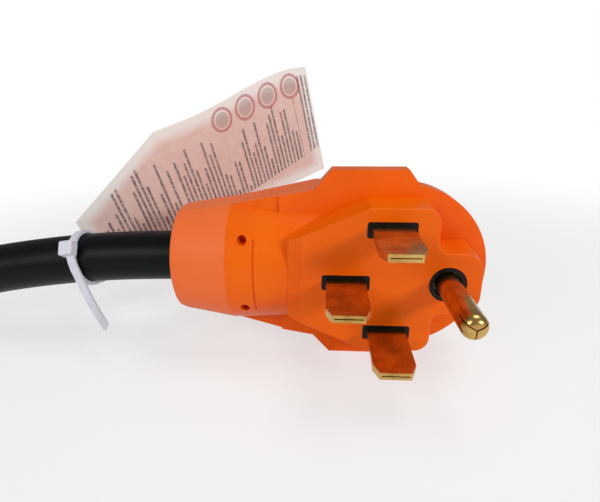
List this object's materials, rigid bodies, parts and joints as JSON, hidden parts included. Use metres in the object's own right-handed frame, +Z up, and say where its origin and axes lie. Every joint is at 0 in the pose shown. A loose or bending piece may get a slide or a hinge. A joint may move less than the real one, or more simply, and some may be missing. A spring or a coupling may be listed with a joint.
{
  "type": "shore power cord",
  "caption": "Short heavy RV shore power cord: orange moulded four-prong plug, black cord, and a female locking connector with a threaded coupling ring.",
  "frame": {"origin": "on the ground under the middle of the plug, its blades included", "axes": "+X from the cord's exit to the plug's round end, -Y the way the blades point, +Z up; the plug stands on the flat of its lower wing"},
  "size_m": [0.3273, 0.3634, 0.0939],
  "materials": {
    "orange_vinyl": "moulded orange PVC, satin, fine mould texture on the collar",
    "black_nylon": "moulded black nylon",
    "black_filler": "moulded black PVC, hidden",
    "copper_strand": "bare stranded copper",
    "black_core": "black core insulation",
    "white_core": "white core insulation",
    "green_core": "green core insulation",
    "brass": "folded brass sheet, lightly polished",
    "cord_vinyl": "extruded black PVC jacket, satin",
    "natural_nylon": "natural white nylon",
    "tag_card": "pale printed card, bare of words",
    "gasket_rubber": "black nitrile"
  },
  "bodies": {
    "cord_set": {"blade_carrier": "black_nylon", "cable_tie": "natural_nylon", "connector_body": "orange_vinyl", "connector_copper_strands": "copper_strand", "connector_ground_core": "green_core", "connector_inner_mould": "black_filler", "connector_insert": "black_nylon", "connector_line_core": "black_core", "connector_neutral_core": "white_core", "cord_jacket": "cord_vinyl", "face_gasket": "gasket_rubber", "ground_contact": "brass", "ground_pin": "brass", "hang_tag": "tag_card", "idle_line_blade": "brass", "inner_mould": "black_filler", "insert_core": "black_nylon", "insert_webs": "black_nylon", "line_blade": "brass", "line_contact": "brass", "neutral_blade": "brass", "neutral_contact": "brass", "plug_body": "orange_vinyl", "plug_copper_strands": "copper_strand", "plug_ground_core": "green_core", "plug_line_core": "black_core", "plug_neutral_core": "white_core"},
    "coupling_ring": {"coupling_ring": "orange_vinyl"}
  },
  "joints": [
    {"name": "ring_turn", "type": "hinge", "parent": "cord_set", "child": "coupling_ring", "pos_m": [-0.2443, -0.2638, 0.033], "axis": [0, -1, 0], "continuous": true}
  ]
}
